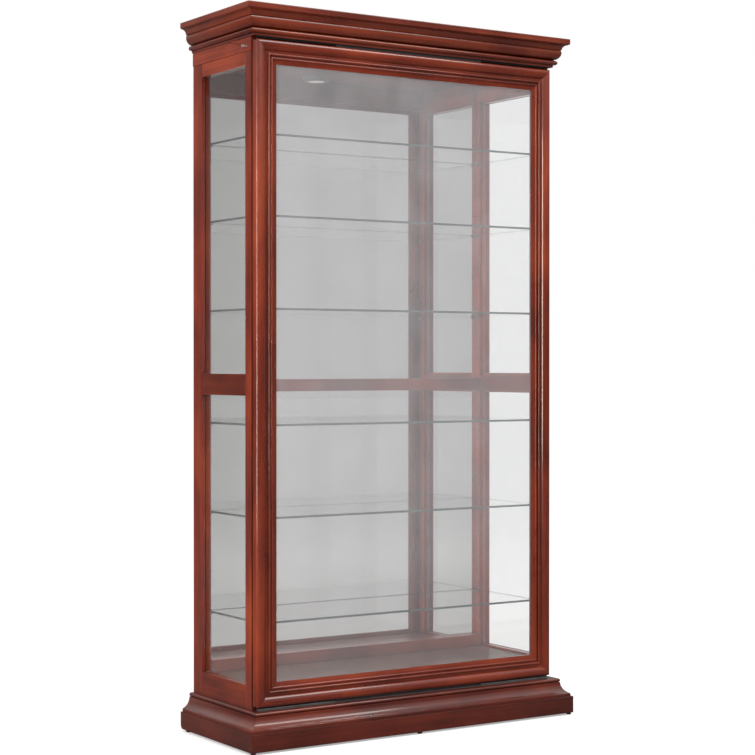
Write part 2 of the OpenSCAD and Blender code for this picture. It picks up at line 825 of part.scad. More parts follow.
module door_bottom_rail() {
  color(wood) difference() {
    intersection() {
      run_along_x(2 * door_x, door_back_y, door_z) door_section();
      translate([0, door_back_y + over, 0]) rotate([90, 0, 0]) linear_extrude(door_t + 2 * over)
        polygon([[-door_x - over, door_z - over], [door_x + over, door_z - over],
                 [door_x - door_frame_w, door_z + door_frame_w],
                 [-door_x + door_frame_w, door_z + door_frame_w]]);
    }
    slide_channels();
  }
}

module door_top_rail() { to_top() door_bottom_rail(); }

module door_glass() {
  color(glass_colour, 0.35)
    block([-door_x + door_frame_w - groove_d + over, door_back_y - glass_back - pane_t,
           door_z + door_frame_w - groove_d + over],
          [door_x - door_frame_w + groove_d - over, door_back_y - glass_back,
           door_z + door_h - door_frame_w + groove_d - over]);
}

plinth_front();
plinth_left();
plinth_right();
plinth_back();
base_mould_front();
base_mould_left();
base_mould_right();
base_panel();
floor_glides();
left_rear_post();
right_rear_post();
left_front_post();
right_front_post();
left_bottom_rail();
left_mid_rail();
left_top_rail();
right_bottom_rail();
right_mid_rail();
right_top_rail();
left_frieze();
right_frieze();
front_bottom_rail();
front_header();
back_bottom_rail();
back_mid_rail();
back_panel();
lower_mirror();
upper_mirror();
deck();
ceiling_panel();
top_panel();
crown_front();
crown_left();
crown_right();
left_lower_glass();
left_upper_glass();
right_lower_glass();
right_upper_glass();
side_glass_stops();
shelf_1();
shelf_2();
shelf_3();
shelf_4();
shelf_5();
shelf_6();
shelf_pins();
light_housing();
light_lens();
switch_body();
switch_button();
slide_cabinet_rails();
slide_cabinet_cages();
slide_carriages();
slide_door_cages();
slide_door_rails();
door_left_stile();
door_right_stile();
door_bottom_rail();
door_top_rail();
door_glass();
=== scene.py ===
import math

import bmesh
import bpy
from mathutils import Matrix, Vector


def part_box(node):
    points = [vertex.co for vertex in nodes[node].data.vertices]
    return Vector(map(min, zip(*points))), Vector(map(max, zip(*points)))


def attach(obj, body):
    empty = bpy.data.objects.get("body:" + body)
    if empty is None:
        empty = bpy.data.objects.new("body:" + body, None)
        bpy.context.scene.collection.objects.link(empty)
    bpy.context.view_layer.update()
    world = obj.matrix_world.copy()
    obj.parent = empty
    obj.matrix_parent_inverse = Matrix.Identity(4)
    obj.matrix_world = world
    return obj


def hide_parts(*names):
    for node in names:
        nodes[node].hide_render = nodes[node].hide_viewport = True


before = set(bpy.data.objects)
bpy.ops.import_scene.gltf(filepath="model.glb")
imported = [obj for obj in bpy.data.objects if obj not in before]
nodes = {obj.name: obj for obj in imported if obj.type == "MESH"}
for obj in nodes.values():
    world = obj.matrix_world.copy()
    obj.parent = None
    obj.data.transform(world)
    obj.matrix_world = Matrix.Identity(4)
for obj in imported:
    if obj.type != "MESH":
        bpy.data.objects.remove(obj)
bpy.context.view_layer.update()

# ---------- Camera ----------
# A long lens at half the cabinet's height, to the left of its front. It looks nearly level, so that
# the posts stay upright.
camera_place = (-2.986, -4.582, 1.051)
camera_turn = (1.5641, 0.0, -0.5754)
light_bounces = 24
camera_data = bpy.data.cameras.new("camera")
camera_data.sensor_width = 36.0
camera_data.lens = 88.74
camera_data.clip_end = 120.0
camera = bpy.data.objects.new("camera", camera_data)
camera.location = camera_place
camera.rotation_euler = camera_turn
bpy.context.collection.objects.link(camera)
bpy.context.scene.camera = camera
bpy.context.scene.view_settings.view_transform = "Standard"
bpy.context.scene.cycles.transparent_max_bounces = 32
bpy.context.scene.cycles.max_bounces = light_bounces
bpy.context.scene.cycles.transmission_bounces = light_bounces

# ---------- Studio ----------
# Pale paper on the floor under a white sky, a tall soft box at the left and a broad one overhead.
# The paper and the sky have their own tone for each kind of ray, so that the backdrop is white
# while the mirrors and the lacquer show greys.
floor_half = 45.0
floor_corners = [(x * floor_half, y * floor_half, 0.0) for x, y in ((-1, -1), (1, -1), (1, 1), (-1, 1))]
floor_mesh = bpy.data.meshes.new("studio_floor")
floor_mesh.from_pydata(floor_corners, [], [(0, 1, 2, 3)])
floor = bpy.data.objects.new("studio_floor", floor_mesh)
bpy.context.collection.objects.link(floor)


def along_range(tree, value, low, high, at_low, at_high):
    """A smooth change from one number to another as a value goes from low to high."""
    change = tree.nodes.new("ShaderNodeMapRange")
    change.interpolation_type = "SMOOTHSTEP"
    for key, number in (("From Min", low), ("From Max", high), ("To Min", at_low), ("To Max", at_high)):
        change.inputs[key].default_value = number
    tree.links.new(value, change.inputs["Value"])
    return change.outputs["Result"]


def reckon(tree, operation, *values):
    """A math node whose inputs are sockets or plain numbers."""
    node = tree.nodes.new("ShaderNodeMath")
    node.operation = operation
    for place, value in enumerate(values):
        if isinstance(value, (int, float)):
            node.inputs[place].default_value = value
        else:
            tree.links.new(value, node.inputs[place])
    return node.outputs[0]


def choose(tree, share, when_zero, when_one):
    """A number that moves from one value to the other as the share goes from 0 to 1."""
    difference = reckon(tree, "SUBTRACT", when_one, when_zero)
    return reckon(tree, "MULTIPLY_ADD", share, difference, when_zero)


floor_paper = bpy.data.materials.new("floor_paper")
floor_paper.use_nodes = True
paper_tree = floor_paper.node_tree
paper_shader = paper_tree.nodes["Principled BSDF"]
paper_shader.inputs["Roughness"].default_value = 0.9
paper_shader.inputs["Specular IOR Level"].default_value = 0.1
paper_shader.inputs["Emission Color"].default_value = (1, 1, 1, 1)
paper_place = paper_tree.nodes.new("ShaderNodeTexCoord")
paper_split = paper_tree.nodes.new("ShaderNodeSeparateXYZ")
paper_tree.links.new(paper_place.outputs["Object"], paper_split.inputs[0])
paper_ray = paper_tree.nodes.new("ShaderNodeLightPath")
paper_y = paper_split.outputs["Y"]
to_camera = paper_ray.outputs["Is Camera Ray"]
through_glass = paper_ray.outputs["Is Transmission Ray"]
gloss_tone, shade_tone, camera_tone, camera_glow = 0.12, 0.30, 0.66, 0.36
grade_start, grade_end = -0.9, -0.3
in_mirror = along_range(paper_tree, paper_y, -4.0, -1.8, 0.52, 0.38)
behind_case = along_range(paper_tree, paper_y, grade_start, grade_end, 0.0, 0.25)
# Painted shadow: seen in the mirror, the paper within 0.9 m of the case's front darkens to under a third.
painted_case_shadow = along_range(paper_tree, paper_y, grade_start, grade_end, 1.0, 0.3)
behind_glow = along_range(paper_tree, paper_y, -0.6, 1.4, 0.0, 0.26)
in_glass = reckon(paper_tree, "ADD", in_mirror, behind_case)
in_bare_mirror = reckon(paper_tree, "MULTIPLY", in_mirror, painted_case_shadow)
paper_tone = choose(paper_tree, paper_ray.outputs["Is Diffuse Ray"], gloss_tone, shade_tone)
paper_tone = choose(paper_tree, paper_ray.outputs["Is Singular Ray"], paper_tone, in_bare_mirror)
paper_tone = choose(paper_tree, through_glass, paper_tone, in_glass)
paper_tone = choose(paper_tree, to_camera, paper_tone, camera_tone)
paper_glow = reckon(paper_tree, "MULTIPLY", through_glass, behind_glow)
paper_glow = choose(paper_tree, to_camera, paper_glow, camera_glow)
paper_tree.links.new(paper_tone, paper_shader.inputs["Base Color"])
paper_tree.links.new(paper_glow, paper_shader.inputs["Emission Strength"])
floor_mesh.materials.append(floor_paper)

sky = bpy.data.worlds.new("studio_sky")
bpy.context.scene.world = sky
sky.use_nodes = True
sky_tree = sky.node_tree
sky_direction = sky_tree.nodes.new("ShaderNodeTexCoord")
sky_split = sky_tree.nodes.new("ShaderNodeSeparateXYZ")
sky_tree.links.new(sky_direction.outputs["Generated"], sky_split.inputs[0])
sky_ray = sky_tree.nodes.new("ShaderNodeLightPath")
up, back = sky_split.outputs["Z"], sky_split.outputs["Y"]
gloss_strength = along_range(sky_tree, up, 0.0, 0.8, 0.12, 0.9)
light_strength = along_range(sky_tree, up, -0.1, 0.9, 0.35, 1.25)
mirror_strength = along_range(sky_tree, back, -0.1, 0.4, 0.49, 0.15)
glass_strength = along_range(sky_tree, back, -0.45, 0.5, 0.49, 0.92)
sky_strength = choose(sky_tree, sky_ray.outputs["Is Diffuse Ray"], gloss_strength, light_strength)
sky_strength = choose(sky_tree, sky_ray.outputs["Is Singular Ray"], sky_strength, mirror_strength)
sky_strength = choose(sky_tree, sky_ray.outputs["Is Transmission Ray"], sky_strength, glass_strength)
sky_strength = choose(sky_tree, sky_ray.outputs["Is Camera Ray"], sky_strength, 1.0)
sky_tree.links.new(sky_strength, sky_tree.nodes["Background"].inputs["Strength"])
sky_tree.nodes["Background"].inputs["Color"].default_value = (1, 1, 1, 1)


def soft_box(name, place, width, height, power, tint):
    """An oblong lamp that faces the middle of the cabinet."""
    data = bpy.data.lights.new(name, "AREA")
    data.shape = "RECTANGLE"
    data.size, data.size_y = width, height
    data.energy = power
    data.color = tint
    lamp = bpy.data.objects.new(name, data)
    lamp.location = place
    cabinet_middle = Vector((0, 0, 1.0))
    lamp.rotation_euler = (cabinet_middle - Vector(place)).to_track_quat("-Z", "Y").to_euler()
    bpy.context.collection.objects.link(lamp)


warm, neutral = (1.0, 0.93, 0.84), (1.0, 0.98, 0.95)
soft_box("soft_box_left", (-4.2, -2.2, 1.7), width=0.5, height=3.2, power=165, tint=warm)
soft_box("soft_box_top", (0.9, -2.0, 4.2), width=3.2, height=1.5, power=80, tint=neutral)

# ---------- Glides ----------
# Six black plastic nail-on glides, tapered towards the floor and tapped into the plinth's lower
# edge: three under the front board, two near the back corners and one under the back board.


def lay(tree, kind, **values):
    """A node with its input sockets set by name, with _ for a space."""
    node = tree.nodes.new(kind)
    for key, value in values.items():
        node.inputs[key.replace("_", " ")].default_value = value
    return node


def moulded(name, colour, rough, metal=0.0, grain=90.0, depth=0.00012):
    """Plastic, enamel or metal with slight mottling in its tone, its gloss and its surface."""
    paint = bpy.data.materials.new(name)
    paint.use_nodes = True
    tree = paint.node_tree
    link = tree.links.new
    shader = tree.nodes["Principled BSDF"]
    place = tree.nodes.new("ShaderNodeTexCoord")
    cloud = lay(tree, "ShaderNodeTexNoise", Scale=grain, Detail=4.0)
    link(place.outputs["Object"], cloud.inputs["Vector"])
    tone = tree.nodes.new("ShaderNodeValToRGB")
    for stop, position, share in zip(tone.color_ramp.elements, (0.3, 0.7), (0.8, 1.12)):
        stop.position = position
        stop.color = (*[min(1.0, channel * share) for channel in colour], 1)
    link(cloud.outputs["Fac"], tone.inputs["Fac"])
    link(tone.outputs["Color"], shader.inputs["Base Color"])
    gloss = lay(tree, "ShaderNodeMapRange", To_Min=rough - 0.05, To_Max=rough + 0.07)
    link(cloud.outputs["Fac"], gloss.inputs["Value"])
    link(gloss.outputs["Result"], shader.inputs["Roughness"])
    relief = lay(tree, "ShaderNodeBump", Strength=0.2, Distance=depth)
    link(cloud.outputs["Fac"], relief.inputs["Height"])
    link(relief.outputs["Normal"], shader.inputs["Normal"])
    shader.inputs["Metallic"].default_value = metal
    return paint


def start_tree(name, **sizes):
    """An empty Geometry Nodes tree with a named input for each size. A whole number is a count."""
    tree = bpy.data.node_groups.new(name, "GeometryNodeTree")
    tree.interface.new_socket("Geometry", in_out="OUTPUT", socket_type="NodeSocketGeometry")
    tree.interface.new_socket("Geometry", in_out="INPUT", socket_type="NodeSocketGeometry")
    for label, value in sizes.items():
        kind = "NodeSocketInt" if isinstance(value, int) else "NodeSocketFloat"
        socket = tree.interface.new_socket(label.replace("_", " "), in_out="INPUT", socket_type=kind)
        socket.default_value = value
    return tree, tree.nodes.new("NodeGroupInput"), tree.nodes.new("NodeGroupOutput")


def close_tree(tree, last, paint, out):
    """Ends a tree in real geometry with its material."""
    real = tree.nodes.new("GeometryNodeRealizeInstances")
    painted = tree.nodes.new("GeometryNodeSetMaterial")
    painted.inputs["Material"].default_value = paint
    tree.links.new(last, real.inputs[0])
    tree.links.new(real.outputs[0], painted.inputs["Geometry"])
    tree.links.new(painted.outputs[0], out.inputs[0])


def plain_piece(name, mesh, paint=None):
    """A new object around a mesh, in one material if it is given."""
    piece = bpy.data.objects.new(name, mesh)
    if paint:
        mesh.materials.clear()
        mesh.materials.append(paint)
    bpy.context.collection.objects.link(piece)
    return piece


def grow(name, tree, points, paint, **sizes):
    """Runs a tree over a set of points and keeps the result as a plain mesh."""
    mesh = bpy.data.meshes.new(name + "_points")
    mesh.from_pydata(points, [], [])
    host = plain_piece(name + "_host", mesh)
    modifier = host.modifiers.new(name, "NODES")
    modifier.node_group = tree
    sockets = {s.name: s.identifier for s in tree.interface.items_tree if s.in_out == "INPUT"}
    for label, value in sizes.items():
        modifier[sockets[label.replace("_", " ")]] = value
    graph = bpy.context.evaluated_depsgraph_get()
    grown = bpy.data.meshes.new_from_object(host.evaluated_get(graph), depsgraph=graph)
    bpy.data.objects.remove(host)
    piece = plain_piece(name, grown, paint)
    for polygon in grown.polygons:
        polygon.use_smooth = False
    return piece


def soften(piece, width):
    """Rounds the sharp edges of a piece."""
    bevel = piece.modifiers.new("eased_edges", "BEVEL")
    bevel.width = width
    bevel.segments = 2
    bevel.limit_method = "ANGLE"
    bevel.angle_limit = math.radians(35)


def turned_tree(name, paint, **sizes):
    """A tree that stands a tapered drum upright on each point."""
    tree, source, out = start_tree(name, **sizes)
    link = tree.links.new
    drum = tree.nodes.new("GeometryNodeMeshCone")
    drum.inputs["Vertices"].default_value = 28
    link(source.outputs["Lower Radius"], drum.inputs["Radius Bottom"])
    link(source.outputs["Upper Radius"], drum.inputs["Radius Top"])
    link(source.outputs["Height"], drum.inputs["Depth"])
    spread = tree.nodes.new("GeometryNodeInstanceOnPoints")
    link(source.outputs["Geometry"], spread.inputs["Points"])
    link(drum.outputs["Mesh"], spread.inputs["Instance"])
    close_tree(tree, spread.outputs[0], paint, out)
    return tree


plinth_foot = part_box("plinth_front")[0].z
plinth_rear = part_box("plinth_back")[1].y
glide_low, glide_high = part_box("floor_glides")
glide_radius = 0.008
glide_plastic = moulded("glide_plastic", (0.02, 0.018, 0.017), 0.5)
glide_tree = turned_tree(
    "nail_on_glides", glide_plastic, Lower_Radius=0.0066, Upper_Radius=glide_radius, Height=0.006
)
glide_x = glide_high.x - glide_radius
front_y, corner_y, back_y = glide_low.y + glide_radius, plinth_rear - 0.031, plinth_rear - 0.010
glide_points = [(x, front_y, 0.0) for x in (-glide_x, 0.0, glide_x)]
glide_points += [(-glide_x, corner_y, 0.0), (0.0, back_y, 0.0), (glide_x, corner_y, 0.0)]
glides = grow("nail_on_glides", glide_tree, glide_points, glide_plastic, Height=plinth_foot)
soften(glides, 0.0009)
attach(glides, "cabinet")
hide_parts("floor_glides")

# ---------- Plinth ----------
# Four boards on edge, mitred at the front corners, in a darker stain than the case. The grain runs
# along each board. Satin lacquer lies over the stain, and painted shade darkens the corners.


def stained_wood(name, along, deep, middle, light, shift, gloss=0.24, coat=0.8, hollow_shade=0.55):
    """Straight-grained stained wood under lacquer, with painted shade in its hollows. along is the axis
    that the grain follows.
    """
    paint = bpy.data.materials.new(name)
    paint.use_nodes = True
    tree = paint.node_tree
    link = tree.links.new
    shader = tree.nodes["Principled BSDF"]
    place = tree.nodes.new("ShaderNodeTexCoord")

    def noise(across, length, detail, distortion=0.0):
        """Clouds with one scale across the grain and another along it."""
        mapping = tree.nodes.new("ShaderNodeMapping")
        mapping.inputs["Scale"].default_value = [length if axis == along else across for axis in "XYZ"]
        mapping.inputs["Location"].default_value = (shift, shift * 1.7, shift * 0.6)
        link(place.outputs["Object"], mapping.inputs["Vector"])
        texture = lay(
            tree, "ShaderNodeTexNoise", Scale=1.0, Detail=detail, Roughness=0.55, Distortion=distortion
        )
        link(mapping.outputs[0], texture.inputs["Vector"])
        return texture.outputs["Fac"]

    blotches = noise(across=9.0, length=3.2, detail=3.0, distortion=0.4)
    streaks = noise(across=120.0, length=3.0, detail=4.0, distortion=0.2)
    pores = noise(across=1100.0, length=40.0, detail=2.0)

    streak_share = 0.3
    blotch_part = reckon(tree, "MULTIPLY", blotches, 1.0 - streak_share)
    figure = reckon(tree, "MULTIPLY_ADD", streaks, streak_share, blotch_part)
    stain = tree.nodes.new("ShaderNodeValToRGB")
    for stop, position, colour in zip(stain.color_ramp.elements, (0.34, 0.68), (deep, light)):
        stop.position = position
        stop.color = (*colour, 1)
    stain.color_ramp.elements.new(0.5).color = (*middle, 1)
    link(figure, stain.inputs["Fac"])

    pore_tone = lay(tree, "ShaderNodeMapRange", From_Min=0.32, From_Max=0.44, To_Min=0.7)
    link(pores, pore_tone.inputs["Value"])
    # Painted shade: ambient occlusion darkens the stain in hollows, quirks and joints; the pores darken it
    # too.
    hollow = lay(tree, "ShaderNodeAmbientOcclusion", Distance=0.02)
    hollow.samples = 6
    hollow_shade_tone = lay(tree, "ShaderNodeMapRange", From_Min=0.35, From_Max=0.85, To_Min=hollow_shade)
    link(hollow.outputs["AO"], hollow_shade_tone.inputs["Value"])
    shade = reckon(tree, "MULTIPLY", pore_tone.outputs["Result"], hollow_shade_tone.outputs["Result"])
    shaded = tree.nodes.new("ShaderNodeMix")
    shaded.data_type = "RGBA"
    shaded.blend_type = "MULTIPLY"
    shaded.inputs["Factor"].default_value = 1.0
    link(stain.outputs["Color"], shaded.inputs[6])
    link(shade, shaded.inputs[7])
    link(shaded.outputs[2], shader.inputs["Base Color"])

    sheen = lay(tree, "ShaderNodeMapRange", To_Min=gloss, To_Max=gloss + 0.12)
    link(blotches, sheen.inputs["Value"])
    link(sheen.outputs["Result"], shader.inputs["Roughness"])
    relief = lay(tree, "ShaderNodeBump", Strength=0.06, Distance=0.0002)
    link(pores, relief.inputs["Height"])
    link(relief.outputs["Normal"], shader.inputs["Normal"])
    shader.inputs["Specular IOR Level"].default_value = 0.32
    shader.inputs["Coat Weight"].default_value = coat
    shader.inputs["Coat Roughness"].default_value = 0.1
    return paint


def finish_in(paint, *names):
    """Gives CAD nodes a material in place of their plain one."""
    for name in names:
        nodes[name].data.materials.clear()
        nodes[name].data.materials.append(paint)


def ease_edges(width, *names):
    """Breaks the sharp edges of CAD nodes, as sandpaper does."""
    for name in names:
        weld = nodes[name].modifiers.new("joined_faces", "WELD")
        weld.merge_threshold = 0.00001
        soften(nodes[name], width)


base_stain = ((0.052, 0.0062, 0.0030), (0.094, 0.0118, 0.0050), (0.148, 0.0215, 0.0076))
plinth_boards = [("plinth_front", "X"), ("plinth_left", "Y"), ("plinth_right", "Y"), ("plinth_back", "X")]
for shift, (name, along) in enumerate(plinth_boards):
    finish_in(stained_wood(name + "_wood", along, *base_stain, 3.1 * shift + 1), name)
    ease_edges(0.0010, name)

# ---------- Base moulding and base panel ----------
# One run of moulding, a nose over a deep hollow, mitred round the front and both sides. The panel
# inside it closes the base and carries the case and the lower slide.
mould_stain = ((0.060, 0.0072, 0.0034), (0.120, 0.0155, 0.0062), (0.190, 0.0280, 0.0092))
mould_run = [("base_mould_front", "X"), ("base_mould_left", "Y"), ("base_mould_right", "Y")]
for shift, (name, along) in enumerate(mould_run):
    finish_in(stained_wood(name + "_wood", along, *mould_stain, 5.3 * shift + 2), name)
    ease_edges(0.0006, name)
finish_in(stained_wood("base_panel_wood", "X", *base_stain, 6.0), "base_panel")

# ---------- Posts and side frames ----------
# Each side is a face frame: two posts with three rails between them, rebated from inside for the
# panes. The inner faces of the posts have rows of holes for the shelf pegs.
cherry_stain = ((0.100, 0.0105, 0.0038), (0.205, 0.0235, 0.0068), (0.330, 0.0500, 0.0120))
upright_pieces = ["left_rear_post", "right_rear_post", "left_front_post", "right_front_post"]
side_rails = ("_bottom_rail", "_mid_rail", "_top_rail")
level_pieces = [side + rail for side in ("left", "right") for rail in side_rails]
for shift, name in enumerate(upright_pieces):
    finish_in(stained_wood(name + "_wood", "Z", *cherry_stain, 2.3 * shift + 3), name)
    ease_edges(0.0012, name)
# Each level of side rail takes its own share of the stain's tone: the bottom rails are darker and the
# middle ones darker still.
rail_tone_share = {"bottom": 0.75, "mid": 0.6, "top": 1.0}
for shift, name in enumerate(level_pieces):
    depth = rail_tone_share[name.split("_")[1]]
    rail_stain = [[channel * depth for channel in tone] for tone in cherry_stain]
    finish_in(stained_wood(name + "_wood", "Y", *rail_stain, 1.9 * shift + 4), name)
    ease_edges(0.0012, name)

# ---------- Frieze boards ----------
# A board over each side frame, a little proud of it, that carries the crown. The left one has the
# hole and the pocket for the light's switch.
for shift, name in enumerate(("left_frieze", "right_frieze")):
    finish_in(stained_wood(name + "_wood", "Y", *cherry_stain, 7.1 * shift + 5), name)
    ease_edges(0.0010, name)

# ---------- Front and back rails ----------
# The low front rail stops the deck, and the header carries the crown and the upper slide. Two rails
# cross the back in front of the mirrors and hide their joint.
cross_rails = ("front_bottom_rail", "front_header", "back_bottom_rail", "back_mid_rail")
for shift, name in enumerate(cross_rails):
    finish_in(stained_wood(name + "_wood", "X", *mould_stain, 3.7 * shift + 8, gloss=0.3, coat=0.5), name)
    ease_edges(0.0012, name)

# ---------- Mirrors ----------
# Two panes of silvered float glass, cut to lap behind the back rails. The silver is a shade darker
# where it thins out towards the panes' edges.
silver = bpy.data.materials.new("silvered_glass")
silver.use_nodes = True
silver_tree = silver.node_tree
silver_shader = silver_tree.nodes["Principled BSDF"]
silver_shader.inputs["Metallic"].default_value = 1.0
silver_place = silver_tree.nodes.new("ShaderNodeTexCoord")
silver_split = silver_tree.nodes.new("ShaderNodeSeparateXYZ")
silver_tree.links.new(silver_place.outputs["Object"], silver_split.inputs[0])
off_centre = reckon(silver_tree, "ABSOLUTE", silver_split.outputs["X"])
silver_tone = silver_tree.nodes.new("ShaderNodeValToRGB")
full_silver, thin_silver = (0.86, 0.86, 0.855, 1), (0.80, 0.80, 0.79, 1)
for stop, position, colour in zip(
    silver_tone.color_ramp.elements, (0.30, 0.49), (full_silver, thin_silver)
):
    stop.position = position
    stop.color = colour
silver_tree.links.new(off_centre, silver_tone.inputs["Fac"])
silver_tree.links.new(silver_tone.outputs["Color"], silver_shader.inputs["Base Color"])
silver_shader.inputs["Roughness"].default_value = 0.0
finish_in(silver, "lower_mirror", "upper_mirror")

# ---------- Back panel ----------
# A sheet of brown hardboard behind the mirrors, fixed in the posts' rebate by pan-head screws
# down both sides and along the three cross rails.
board_tones = ((0.115, 0.066, 0.036), (0.165, 0.098, 0.056), (0.215, 0.134, 0.080))
finish_in(stained_wood("back_board", "X", *board_tones, 1.0, gloss=0.55, coat=0.0, hollow_shade=0.8), "back_panel")
ease_edges(0.0008, "back_panel")


def vector_of(tree, x=0.0, y=0.0, z=0.0):
    """A vector whose parts are sockets or plain numbers."""
    node = tree.nodes.new("ShaderNodeCombineXYZ")
    for place, value in enumerate((x, y, z)):
        if isinstance(value, (int, float)):
            node.inputs[place].default_value = value
        else:
            tree.links.new(value, node.inputs[place])
    return node.outputs[0]


def screw_tree(name, paint, **sizes):
    """A tree that sets a pan-head screw with a cross recess on each point, turned about X by Tilt."""
    tree, source, out = start_tree(name, **sizes)
    link = tree.links.new
    radius, height = source.outputs["Head Radius"], source.outputs["Head Height"]
    head = tree.nodes.new("GeometryNodeMeshCone")
    head.inputs["Vertices"].default_value = 20
    link(radius, head.inputs["Radius Bottom"])
    link(reckon(tree, "MULTIPLY", radius, 0.72), head.inputs["Radius Top"])
    link(height, head.inputs["Depth"])
    recess = tree.nodes.new("GeometryNodeJoinGeometry")
    arm, width, depth = 1.1, 0.24, 0.5
    for shares in ((arm, width, depth), (width, arm, depth)):
        bar = tree.nodes.new("GeometryNodeMeshCube")
        bar_size = (reckon(tree, "MULTIPLY", radius, share) for share in shares)
        link(vector_of(tree, *bar_size), bar.inputs["Size"])
        raised = tree.nodes.new("GeometryNodeTransform")
        link(bar.outputs["Mesh"], raised.inputs["Geometry"])
        link(vector_of(tree, z=height), raised.inputs["Translation"])
        link(raised.outputs[0], recess.inputs[0])
    crossed = tree.nodes.new("GeometryNodeMeshBoolean")
    crossed.operation = "DIFFERENCE"
    link(head.outputs["Mesh"], crossed.inputs[0])
    link(recess.outputs[0], crossed.inputs[1])
    spread = tree.nodes.new("GeometryNodeInstanceOnPoints")
    link(source.outputs["Geometry"], spread.inputs["Points"])
    link(crossed.outputs["Mesh"], spread.inputs["Instance"])
    link(vector_of(tree, x=source.outputs["Tilt"]), spread.inputs["Rotation"])
    close_tree(tree, spread.outputs[0], paint, out)
    return tree


def spaced(first, last, count):
    """Evenly spaced numbers with both ends among them."""
    return [first + (last - first) * step / (count - 1) for step in range(count)]


board_low, board_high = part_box("back_panel")
screw_inset = 0.004
zinc = moulded("zinc_screws", (0.52, 0.50, 0.46), 0.32, 1.0)
pan_heads = screw_tree("pan_head_screws", zinc, Head_Radius=0.0035, Head_Height=0.0018, Tilt=0.0)
screw_sides = (board_low.x + screw_inset, board_high.x - screw_inset)
screw_levels = spaced(board_low.z + 0.03, board_high.z - 0.03, 11)
screw_spots = [(x, board_high.y, z) for x in screw_sides for z in screw_levels]
rail_low, rail_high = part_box("back_mid_rail")
sill_low, sill_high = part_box("back_bottom_rail")
cross_half = 0.36
for level in ((sill_low.z + sill_high.z) / 2, (rail_low.z + rail_high.z) / 2, board_high.z - 0.018):
    screw_spots += [(x, board_high.y, level) for x in spaced(-cross_half, cross_half, 5)]
back_screws = grow("back_panel_screws", pan_heads, screw_spots, zinc, Tilt=-math.pi / 2)
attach(back_screws, "cabinet")

# ---------- Deck, ceiling and top panel ----------
# The deck and the ceiling are veneered boards between the side frames. A plain board lies over the
# friezes behind the crown, which hides it, and it is screwed down round its edge.
deck_veneer = ((0.034, 0.0100, 0.0055), (0.062, 0.0200, 0.0110), (0.100, 0.0350, 0.0190))
ceiling_veneer = ((0.070, 0.0120, 0.0065), (0.135, 0.0250, 0.0130), (0.215, 0.0450, 0.0210))
finish_in(stained_wood("deck_veneer", "X", *deck_veneer, 9.0, gloss=0.42, coat=0.15), "deck")
finish_in(stained_wood("ceiling_veneer", "X", *ceiling_veneer, 20.0, gloss=0.4, coat=0.2), "ceiling_panel")
ease_edges(0.0006, "deck", "ceiling_panel")
finish_in(stained_wood("top_board", "X", *board_tones, 5.0, gloss=0.55, coat=0.0, hollow_shade=0.8), "top_panel")
lid_low, lid_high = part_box("top_panel")
lid_inset = 0.02
lid_x, lid_front, lid_back = lid_high.x - lid_inset, lid_low.y + lid_inset, lid_high.y - lid_inset
lid_spots = [(x, y, lid_high.z) for x in spaced(-lid_x, lid_x, 5) for y in (lid_front, lid_back)]
lid_spots += [(x, (lid_front + lid_back) / 2, lid_high.z) for x in (-lid_x, lid_x)]
top_screws = grow("top_panel_screws", pan_heads, lid_spots, zinc, Tilt=0.0)
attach(top_screws, "cabinet")

# ---------- Crown ----------
# One run of crown moulding, mitred round the front and both sides, with a deep hollow between its
# beads. Painted shade darkens the hollow and the quirks.
crown_stain = ((0.070, 0.0085, 0.0036), (0.140, 0.0175, 0.0060), (0.225, 0.0350, 0.0100))
crown_run = [("crown_front", "X"), ("crown_left", "Y"), ("crown_right", "Y")]
for shift, (name, along) in enumerate(crown_run):
    finish_in(stained_wood(name + "_wood", along, *crown_stain, 4.3 * shift + 7, gloss=0.22), name)
    ease_edges(0.0006, name)

# ---------- Side panes and stops ----------
# Two panes of clear float glass in each side frame, held in their rebates by thin pinned stops of
# the same wood on the inside.


